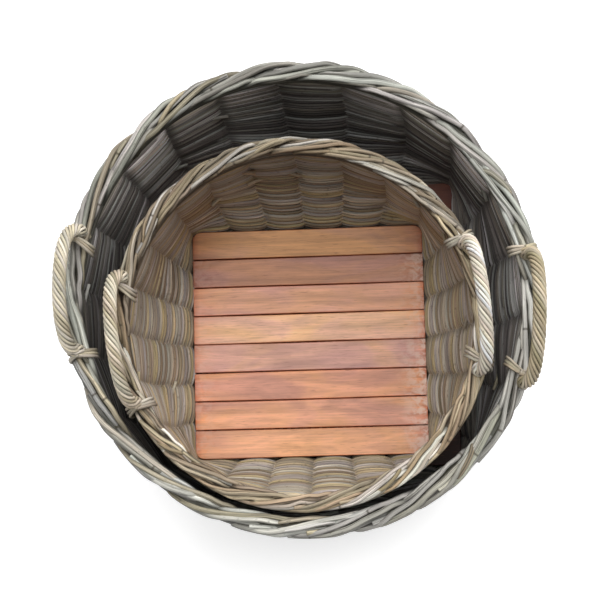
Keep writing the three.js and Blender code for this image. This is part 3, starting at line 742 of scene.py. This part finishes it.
def plaitRim(basket):
    name, stakes, points = basket["name"], basket["stakes"], rim["points"]
    spacing = wholeTurn / stakes
    highest = -rim["sink"] * basket["rodRadius"] / mm
    lines, radii, sideLights, shade = [], [], [], []
    for k in range(stakes):
        begin = math.radians(basket["seam"]) + (k + 0.5 + dice.normal(0, rim["stakeWander"])) * spacing
        for way, lag, aside, rise, girth in basket["rimMates"]:
            path = np.asarray(rim[way], float)
            drift = dice.normal(0, 1, 3) * rim["drift"]
            wobble = dice.normal(0, 1, (len(path), 2)) * rim["wobble"]
            if way == "stub" and dice.uniform() > rim["stubShare"]:
                continue
            angles = begin - (path[:, 0] + lag + drift[0]) * spacing
            outward = np.minimum(path[:, 1] + aside + drift[1] + wobble[:, 0], rim["reach"])
            outward = outward * basket["rimSpread"] + basket["rimShift"]
            up = np.minimum(path[:, 2] + rise + drift[2] + wobble[:, 1], highest)
            line = smoothLine(rimSpot(basket, angles, outward * mm, up * mm), points)
            lines.append(line)
            shade.append(shadeHiddenRods(basket, line))
            swell = np.linspace(0, dice.uniform(*rim["swellRun"]), points) + dice.uniform(*rim["swellStart"])
            radius = basket["rodRadius"] * dice.uniform(*rim["girth"]) * girth
            radii.append(radius * (1 + rim["swell"] * np.sin(swell)))
            # painted light and shade: each rod lighter towards one side of the rim and darker on the other,
            # as the light fell
            fromLitSide = angles.mean() - math.radians(rim["bleachedSide"])
            sideLights.append(1 + basket["bleached"] * math.cos(fromLitSide))
    tints = pickTints(basket["rimColours"], len(lines), rim["tintWander"]) * np.array(sideLights)[:, None]
    mesh = bentCanes(lines, radii, tints, shade=shade, paintedTopLight=rim["paintedTopLight"])
    finishPiece(name + "_rim_rods", mesh, rimCane, basket["body"], [name + "_rim_border"])


# rings of cane inside the border, mm out from mid rim and mm up from its top, darkened as painted shade
rimCore = dict(
    rings=((-3, -16), (4, -15), (-4, -24), (3, -22), (9, -24), (-6, -31), (0, -31), (7, -30)),
    radius=4.2 * mm, points=181, sides=6, shade=0.32)


def coilCore(basket):
    turns = np.linspace(0, wholeTurn, rimCore["points"])
    lines = []
    for outward, up in rimCore["rings"]:
        outward = outward * basket["rimSpread"] + basket["rimShift"]
        lines.append(rimSpot(basket, turns, outward * mm, up * mm))
    tints = pickTints(basket["rimColours"], len(lines))
    radii = np.full(len(lines), rimCore["radius"])
    mesh = bentCanes(lines, radii, tints, rimCore["sides"], rimCore["shade"])
    finishPiece(basket["name"] + "_rim_core", mesh, weaveCane, basket["body"])


for basket in baskets:
    plaitRim(basket)
    coilCore(basket)
print("rims plaited")


# handles: canes laid round each other, their tails tucked over the rim

rope = dict(
    strands=8, radius=2.12 * mm, girth=(0.94, 1.08), lay=6.6 * mm, pitch=62 * mm, core=4.5 * mm,
    rise=55 * mm, straight=8 * mm, sunk=26 * mm, hook=0.55, bowPoints=41, legPoints=8, points=97,
    tintWander=0.2, paintedCoreShade=0.3, paintedTopLight=(0.76, 1.02), paintedCreviceShade=((6.2 * mm, 8.2 * mm), (0.34, 1.0)))
# a tail's points are mm out from mid rim, mm aside per strand, mm up from the rim's top, mm onward round it
tail = dict(
    inward=[(7, 1.4, 13, 0), (1, 2.4, 10, 1.5), (-6, 3.6, 6, 4), (-12, 4.3, 2, 7), (-16, 4.8, -5, 9),
            (-17, 5.2, -12, 10)],
    outward=[(3, 1.4, 14, 0), (8, 2.4, 11, 0), (13, 3.6, 5, 0), (17, 4.2, -3, -1), (18, 4.6, -13, -2),
             (16, 5, -25, -3)],
    count=3, points=20, fanWander=0.12, radius=(1.9 * mm, 2.3 * mm), paintedTopLight=(0.45, 0.86),
    legs=((-1, 12, 1), (1, 4, 0.2)))  # each leg's side, mm from there to its tails, and their slant


def handleLine(basket, handle, turn):
    middle, half = basket["rimMiddle"], handle["span"] / 2
    legReach = math.sqrt((middle + handle["legOut"]) ** 2 - half**2)
    crown = middle + handle["lean"] - legReach
    bow = np.linspace(0, np.pi, rope["bowPoints"])
    leg = np.linspace(-rope["sunk"], rope["straight"], rope["legPoints"] + 1)[:-1]
    upright = np.zeros(rope["legPoints"])
    along = np.concatenate([upright - half, -half * np.cos(bow), upright + half])
    out = np.concatenate([upright, crown * np.abs(np.sin(bow)) ** rope["hook"], upright]) + legReach
    out = out - handle["skew"] * along / half
    arch = rope["straight"] + (rope["rise"] - rope["straight"]) * np.sin(bow)
    up = np.concatenate([leg, arch, leg[::-1]])
    x = basket["centre"][0] + out * math.cos(turn) - along * math.sin(turn)
    y = basket["centre"][1] + out * math.sin(turn) + along * math.cos(turn)
    return evenly(sway(basket, np.stack([x, y, basket["rimTop"] + up], 1)), rope["points"])


def twistRope(basket, node, handle, line):
    across, over = sideways(line[None])
    run = np.cumsum(np.linalg.norm(np.diff(line, axis=0, prepend=line[:1]), axis=1))
    lines, radii = [line], [rope["core"]]
    for s in range(rope["strands"]):
        angle = wholeTurn * (s / rope["strands"] - run / rope["pitch"])
        aside = np.cos(angle)[:, None] * across[0] + np.sin(angle)[:, None] * over[0]
        lines.append(line + rope["lay"] * aside)
        radii.append(rope["radius"] * dice.uniform(*rope["girth"]))
    # painted shade: the rope's heart, seen only between its strands, is darkened
    shade = np.ones((len(lines), 1))
    shade[0] = rope["paintedCoreShade"]
    # painted light and shade: each handle's shade makes this rope lighter or darker
    tints = pickTints(basket["ropeColours"], len(lines), rope["tintWander"]) * handle["shade"]
    mesh = bentCanes(
        lines, radii, tints, shade=shade, paintedTopLight=rope["paintedTopLight"], paintedCreviceShade=rope["paintedCreviceShade"])
    finishPiece(node + "_rope", mesh, ropeCane, basket["body"], [node])


def tuckTails(basket, node, handle, turn):
    middle, count = basket["rimMiddle"], tail["count"]
    lines = []
    for end, shift, slant in tail["legs"]:
        legAngle = turn + end * math.asin(handle["span"] / 2 / middle)
        for way in ("inward", "outward"):
            for t in range(count):
                fan = t - (count - 1) / 2 + dice.normal(0, tail["fanWander"])
                points = []
                for out, aside, lift, onward in tail[way]:
                    angle = legAngle + (shift + fan * aside + slant * onward) * mm / middle
                    points.append(rimSpot(basket, angle, out * mm, lift * mm))
                lines.append(smoothLine(points, tail["points"]))
    thick = dice.uniform(*tail["radius"], len(lines))
    tints = pickTints(basket["ropeColours"], len(lines))
    mesh = bentCanes(lines, thick, tints, paintedTopLight=tail["paintedTopLight"])
    finishPiece(node + "_tails", mesh, ropeCane, basket["body"])


def twistHandle(basket, side, start):
    handle, node = basket["handles"][side], basket["name"] + "_handle_" + side
    turn = math.radians(start + handle["turn"])
    twistRope(basket, node, handle, handleLine(basket, handle, turn))
    tuckTails(basket, node, handle, turn)


for basket in baskets:
    twistHandle(basket, "right", 0)
    twistHandle(basket, "left", 180)
print("handles twisted")


# slatted deck on two battens; colours and wear run from the front slat to the back one, as does the large
# deck's painted shade

deck = dict(
    slats=8, swell=Vector((0.8 * mm, 0.9 * mm, 0)), corner=12 * mm, cornerSteps=8, edge=1.3 * mm,
    edgeSteps=3, edgeAngle=0.6, touch=0.01 * mm, bands=12, bow=0.5 * mm, bowTurns=(0.5, 1.3),
    endBand=9 * mm, endColour=(0.74, 0.52, 0.42), paintedEdgeShade=(0.66, 0.36, 0.25),
    wornBand=40 * mm, wornEnds=(0.3, 1), blush=(1.0, 0.86, 0.80),
    colours=[(0.71, 0.352, 0.206), (0.72, 0.345, 0.208), (0.77, 0.36, 0.213), (0.72, 0.39, 0.29),
             (0.88, 0.505, 0.33), (0.72, 0.365, 0.255), (0.52, 0.25, 0.17), (0.62, 0.315, 0.17)],
    wear=[0.9, 1, 0.9, 0.8, 0.5, 0.5, 0.7, 0.1],
    # shadeOfLarge and paintedShadeBySlat are painted shade on the large deck, darkest at the front
    shadeOfLarge=(0.27, 0.115, 0.075), rollOfLarge=3, paintedShadeBySlat=(0.2, 0.25, 0.4, 0.6, 0.8, 0.9, 0.8, 0.6),
    plankStep=np.array([1.37, 0.71, 0.53]), battenColour=(0.40, 0.23, 0.13))


def cutSlat(low, high, roundedSide=None):
    bm = bmesh.new()
    block(bm, (low + high) / 2, high - low)
    if roundedSide is not None:
        posts = [e for e in uprights(bm) if abs(e.verts[0].co.y - roundedSide) < deck["touch"]]
        soften(bm, posts, deck["corner"], deck["cornerSteps"])
    soften(bm, sharpEdges(bm, deck["edgeAngle"]), deck["edge"], deck["edgeSteps"])
    band = deck["endBand"]
    for x in np.linspace(low.x + band, high.x - band, deck["bands"]):
        parts = bm.verts[:] + bm.edges[:] + bm.faces[:]
        bmesh.ops.bisect_plane(bm, geom=parts, plane_co=(x, 0, 0), plane_no=(1, 0, 0))
    return meshFrom(bm)


def endShade(spots, low, high):
    fromEnd = np.minimum(spots[:, 0] - low.x, high.x - spots[:, 0])
    fromEdge = np.minimum(spots[:, 1] - low.y, high.y - spots[:, 1])
    shade = np.ones((len(spots), 3))
    # the end band and blush are the wood's own colour; paintedEdgeShade is painted shade along the joints
    # between slats
    bands = [("endColour", fromEnd, "endBand"), ("blush", fromEnd, "wornBand"),
             ("paintedEdgeShade", fromEdge, "edge")]
    for key, distance, reach in bands:
        share = np.interp(distance, (0, deck[reach]), (1, 0))[:, None]
        shade = shade * (1 - (1 - np.array(deck[key])) * share)
    return shade


def laySlats(basket):
    name, last = basket["name"], deck["slats"] - 1
    for i in range(deck["slats"]):
        node = f"{name}_slat_{i + 1}"
        low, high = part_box(node)
        low, high = low - deck["swell"], high + deck["swell"]
        mesh = cutSlat(low, high, {0: low.y, last: high.y}.get(i))
        spots = spotsOf(mesh)
        tint, bloom = np.array(deck["colours"][i]), deck["wear"][i]
        if name == "large":
            # painted shade: the large deck lies in its basket's shadow, so its slats are darkened and
            # reddened
            tint = np.roll(deck["colours"], deck["rollOfLarge"], axis=0)[i]
            tint = tint * deck["shadeOfLarge"] * deck["paintedShadeBySlat"][i]
            bloom = 0
        shade = endShade(spots, low, high)
        # edges aren't quite straight, so the joints are wider here and narrower there
        side = np.where(spots[:, 1] < (low.y + high.y) / 2, 0, 1)
        turns, begin = dice.uniform(*deck["bowTurns"], 2)[side], dice.uniform(0, 1, 2)[side]
        share = (spots[:, 0] - low.x) / (high.x - low.x)
        bow = 0.5 + 0.5 * np.sin(wholeTurn * (turns * share + begin))
        spots[:, 1] += (1 - 2 * side) * deck["bow"] * bow
        ends = (low.x, low.x + deck["wornBand"], high.x - deck["wornBand"], high.x)
        wear = np.interp(spots[:, 0], ends, (deck["wornEnds"][0], 0, 0, deck["wornEnds"][1]))
        plank = spots + i * deck["plankStep"] + (len(name), 0, 0)
        dress(mesh, spots, tint * shade, plank, wear * bloom)
        finishPiece(f"{name}_deck_slat_{i + 1}", mesh, deckWood, basket["body"], [node], False)


def setBattens(basket):
    for side in ("left", "right"):
        node = f"{basket['name']}_batten_{side}"
        mesh = cutSlat(*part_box(node))
        spots = spotsOf(mesh)
        plank = spots[:, [1, 0, 2]] + len(side)
        dress(mesh, spots, np.broadcast_to(deck["battenColour"], spots.shape), plank)
        name = f"{basket['name']}_deck_batten_{side}"
        finishPiece(name, mesh, deckWood, basket["body"], [node], False)


for basket in baskets:
    laySlats(basket)
    setBattens(basket)
print("decks laid")


# castors, each made on its swivel axis or its axle and then moved there

castor = dict(
    trail=14 * mm, tread=16.67 * mm, halfWidth=7 * mm, hub=7 * mm, dish=1.6 * mm, bore=2.6 * mm,
    wheelSteps=40, axle=2.5 * mm, axleHead=4 * mm, axleSteps=20, cheekIn=8 * mm, cheekOut=10.2 * mm,
    eye=6.5 * mm, eyeSteps=20, forkHalf=12 * mm, forkBack=0.6, forkTop=2.5 * mm, forkShoulder=2 * mm,
    edge=0.5 * mm, edgeAngle=1.0,
    plate=(46 * mm, 38 * mm, 2.2 * mm), plateCorner=5 * mm, race=12 * mm, raceGap=0.3 * mm,
    pin=3.5 * mm, pinHead=5.5 * mm, pinHeadHigh=2 * mm, plateSteps=28, heart=0.02 * mm,
    screwAt=(17 * mm, 13 * mm), screw=3.6 * mm, screwDome=0.5)


def spun(bm, profile, axis, steps):
    ring = [bm.verts.new(point) for point in profile]
    edges = [bm.edges.new((a, b)) for a, b in zip(ring, ring[1:] + ring[:1])]
    bmesh.ops.spin(
        bm, geom=ring + edges, cent=(0, 0, 0), axis=axis, angle=wholeTurn, steps=steps, use_merge=True)


def bothSides(half):
    return [(x, 0, r) for r, x in half] + [(-x, 0, r) for r, x in reversed(half)]


def closedSkin(bm, shift):
    bmesh.ops.remove_doubles(bm, verts=bm.verts[:], dist=1e-6)
    bmesh.ops.recalc_face_normals(bm, faces=bm.faces[:])
    bmesh.ops.translate(bm, verts=bm.verts[:], vec=shift)
    return meshFrom(bm)


def turnWheel(name, hubAt):
    # dished sides and a rounded tread
    tread, wide, hub = castor["tread"], castor["halfWidth"], castor["hub"]
    dished = wide - castor["dish"]
    half = [(castor["bore"], wide), (hub, wide), (hub + 0.8 * mm, dished), (tread - 4.6 * mm, dished),
            (tread - 3.6 * mm, wide), (tread - 1.8 * mm, wide), (tread - 0.6 * mm, wide - 0.7 * mm),
            (tread, wide - 2.2 * mm)]
    bm = bmesh.new()
    spun(bm, bothSides(half), (1, 0, 0), castor["wheelSteps"])
    mesh = closedSkin(bm, hubAt)
    finishPiece(name + "_tyre", mesh, wheelPlastic, name + "_roller", [name + "_wheel"])


def turnAxle(name, hubAt, end):
    # a pin with rolled heads
    head, shank = castor["axleHead"], castor["axle"]
    half = [(castor["heart"], end), (head - 0.8 * mm, end), (head, end - 0.6 * mm), (head, end - 1.4 * mm),
            (shank, end - 1.4 * mm)]
    bm = bmesh.new()
    spun(bm, bothSides(half), (1, 0, 0), castor["axleSteps"])
    mesh = closedSkin(bm, hubAt)
    finishPiece(name + "_axle_pin", mesh, zincSteel, name + "_swivel", [name + "_axle"])


def foldFork(name, pivot, top, axleHeight):
    # a folded strap, its cheeks tapering to the axle's eye
    bm = bmesh.new()
    shoulder = top - castor["forkTop"] - castor["forkShoulder"]
    for way in (-1, 1):
        spots = []
        for x in (castor["cheekIn"], castor["cheekOut"]):
            for y in (-castor["forkHalf"], castor["forkHalf"] * castor["forkBack"]):
                spots += [(way * x, y, z) for z in (top, shoulder)]
            for turn in np.linspace(0, wholeTurn, castor["eyeSteps"], endpoint=False):
                y, z = castor["eye"] * math.cos(turn), castor["eye"] * math.sin(turn)
                spots.append((way * x, y - castor["trail"], z + axleHeight))
        bmesh.ops.convex_hull(bm, input=[bm.verts.new(spot) for spot in spots])
    size = (2 * castor["cheekIn"], 2 * castor["forkHalf"], castor["forkTop"])
    block(bm, (0, 0, top - castor["forkTop"] / 2), size)
    bmesh.ops.delete(bm, geom=[v for v in bm.verts if not v.link_faces], context="VERTS")
    bmesh.ops.dissolve_limit(bm, angle_limit=0.01, verts=bm.verts[:], edges=bm.edges[:])
    soften(bm, sharpEdges(bm, castor["edgeAngle"]), castor["edge"], 2)
    mesh, body = closedSkin(bm, pivot), name + "_swivel"
    finishPiece(name + "_fork_strap", mesh, zincSteel, body, [name + "_fork"], False)


def pressPlate(name, body, pivot, top, forkTop, pinUnder):
    # with its ball race and kingpin
    bm = bmesh.new()
    under = top - castor["plate"][2]
    block(bm, (0, 0, (top + under) / 2), castor["plate"])
    soften(bm, uprights(bm), castor["plateCorner"], 6)
    soften(bm, sharpEdges(bm, castor["edgeAngle"]), castor["edge"], 2)
    heart, race, pin, head = castor["heart"], castor["race"], castor["pin"], castor["pinHead"]
    raceUnder, headTop = forkTop + castor["raceGap"], pinUnder + castor["pinHeadHigh"]
    profile = [(heart, under), (race - 1.2 * mm, under), (race, under - 1.2 * mm),
               (race - 0.6 * mm, raceUnder + 0.5 * mm), (race - 1.6 * mm, raceUnder), (pin, raceUnder),
               (pin, headTop), (head, headTop), (head, pinUnder + 0.8 * mm), (head - 1 * mm, pinUnder),
               (heart, pinUnder)]
    spun(bm, [(r, 0, z) for r, z in profile], (0, 0, 1), castor["plateSteps"])
    mesh = closedSkin(bm, pivot)
    finishPiece(name + "_top_plate", mesh, zincSteel, body, [name + "_plate"], False)


def driveScrews(name, body, pivot, height):
    # four dome heads under the plate
    bm = bmesh.new()
    dome = Matrix.Diagonal((1, 1, castor["screwDome"], 1))
    for sx in (-1, 1):
        for sy in (-1, 1):
            at = Matrix.Translation((sx * castor["screwAt"][0], sy * castor["screwAt"][1], height))
            bmesh.ops.create_uvsphere(
                bm, u_segments=12, v_segments=6, radius=castor["screw"], matrix=at @ dome)
    finishPiece(name + "_screws", closedSkin(bm, pivot), zincSteel, body)


def buildCastor(basket, end, side):
    name, body = f"{basket['name']}_castor_{end}_{side}", basket["body"]
    plateLow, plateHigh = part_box(name + "_plate")
    axleLow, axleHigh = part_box(name + "_axle")
    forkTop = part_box(name + "_fork")[1].z
    pivot = Vector(((axleLow.x + axleHigh.x) / 2, (axleLow.y + axleHigh.y) / 2 + castor["trail"], 0))
    hubAt = Vector((pivot.x, pivot.y - castor["trail"], (axleLow.z + axleHigh.z) / 2))
    turnWheel(name, hubAt)
    turnAxle(name, hubAt, (axleHigh.x - axleLow.x) / 2)
    foldFork(name, pivot, forkTop, hubAt.z)
    pressPlate(name, body, pivot, plateHigh.z, forkTop, plateLow.z)
    driveScrews(name, body, pivot, plateHigh.z - castor["plate"][2])


for basket in baskets:
    for end in ("front", "back"):
        for side in ("left", "right"):
            buildCastor(basket, end, side)
print("castors fitted")


# a few stakes turn down steeply over the finished border; points as in the rim's rods

hook = dict(
    path=[(-0.05, -5.5, -27), (0.0, -7, -15), (0.05, -6, -5), (0.16, -1, -1.6), (0.34, 5, -1.4),
          (0.5, 9, -4.6), (0.6, 11, -11), (0.66, 9.6, -18), (0.7, 6, -25)],
    points=24, stretch=(0.8, 1.5), wobble=0.5, girth=(0.85, 1.05), tintWander=0.2, paintedTopLight=(0.4, 1.0))


def bendHooks(basket):
    spacing = wholeTurn / basket["stakes"]
    path = np.asarray(hook["path"], float)
    lines = []
    for turn in basket["hooks"]:
        angles = math.radians(turn) - path[:, 0] * spacing * dice.uniform(*hook["stretch"])
        outward = path[:, 1] + dice.normal(0, hook["wobble"], len(path))
        outward = outward * basket["rimSpread"] + basket["rimShift"]
        lines.append(smoothLine(rimSpot(basket, angles, outward * mm, path[:, 2] * mm), hook["points"]))
    radii = basket["rodRadius"] * dice.uniform(*hook["girth"], len(lines))
    tints = pickTints(basket["hookColours"], len(lines), hook["tintWander"])
    mesh = bentCanes(lines, radii, tints, paintedTopLight=hook["paintedTopLight"])
    finishPiece(basket["name"] + "_rim_hooks", mesh, rimCane, basket["body"])


for basket in baskets:
    bendHooks(basket)
print("last stakes turned down")


# floor, light and camera

stage = dict(size=12, pale=(0.85, 0.87), grain=(3, 3, 3), rough=0.9, glow=0.5, sky=0.2)
lamps = [dict(name="softKey", towards=(0.34, 0.66, 0.67), strength=2.55, spread=80),
         dict(name="softTop", towards=(-0.04, 0.06, 1.0), strength=1.25, spread=24)]
view = dict(at=(0.12813, -0.30376, 2.52879), turn=(0.1375, 0.0638, -0.0237), lens=103.36, sensor=36)


def eitherRay(tree, *kinds):
    path = place(tree, "ShaderNodeLightPath").outputs
    seen = path[kinds[0]]
    for kind in kinds[1:]:
        seen = sums(tree, "MAXIMUM", seen, path[kind])
    return seen


def layFloor():
    bm = bmesh.new()
    bmesh.ops.create_grid(bm, x_segments=1, y_segments=1, size=stage["size"])
    floor = bpy.data.objects.new("floor", meshFrom(bm))
    bpy.context.scene.collection.objects.link(floor)
    material, tree, shader = startMaterial("paleFloor")
    grain = mottle(tree, place(tree, "ShaderNodeTexCoord").outputs["Object"], stage["grain"])
    feed(tree, shader.inputs["Base Color"], shaded(tree, (1, 1, 1), grain, noiseSpan, stage["pale"]))
    shader.inputs["Roughness"].default_value = stage["rough"]
    seen = eitherRay(tree, "Is Camera Ray", "Is Glossy Ray", "Is Transmission Ray")
    shader.inputs["Emission Color"].default_value = (1, 1, 1, 1)
    feed(tree, shader.inputs["Emission Strength"], sums(tree, "MULTIPLY", seen, stage["glow"]))
    floor.data.materials.append(material)


def lightSky():
    world = bpy.data.worlds.new("studio")
    world.use_nodes = True
    bpy.context.scene.world = world
    tree = world.node_tree
    back = tree.nodes["Background"]
    back.inputs["Color"].default_value = (1, 1, 1, 1)
    seen = eitherRay(tree, "Is Camera Ray", "Is Transmission Ray")
    feed(tree, back.inputs["Strength"], ramp(tree, seen, (0, 1), (stage["sky"], 1.0)))


def hangLamps():
    for lamp in lamps:
        data = bpy.data.lights.new(lamp["name"], "SUN")
        data.energy, data.angle = lamp["strength"], math.radians(lamp["spread"])
        light = bpy.data.objects.new(lamp["name"], data)
        light.rotation_euler = Vector(lamp["towards"]).to_track_quat("Z", "Y").to_euler()
        bpy.context.scene.collection.objects.link(light)


def setCamera():
    data = bpy.data.cameras.new("camera")
    data.sensor_width, data.lens = view["sensor"], view["lens"]
    camera = bpy.data.objects.new("camera", data)
    camera.location, camera.rotation_euler = view["at"], view["turn"]
    bpy.context.scene.collection.objects.link(camera)
    bpy.context.scene.camera = camera


layFloor()
lightSky()
hangLamps()
setCamera()
bpy.context.scene.view_settings.view_transform = "Standard"
print("stage set")
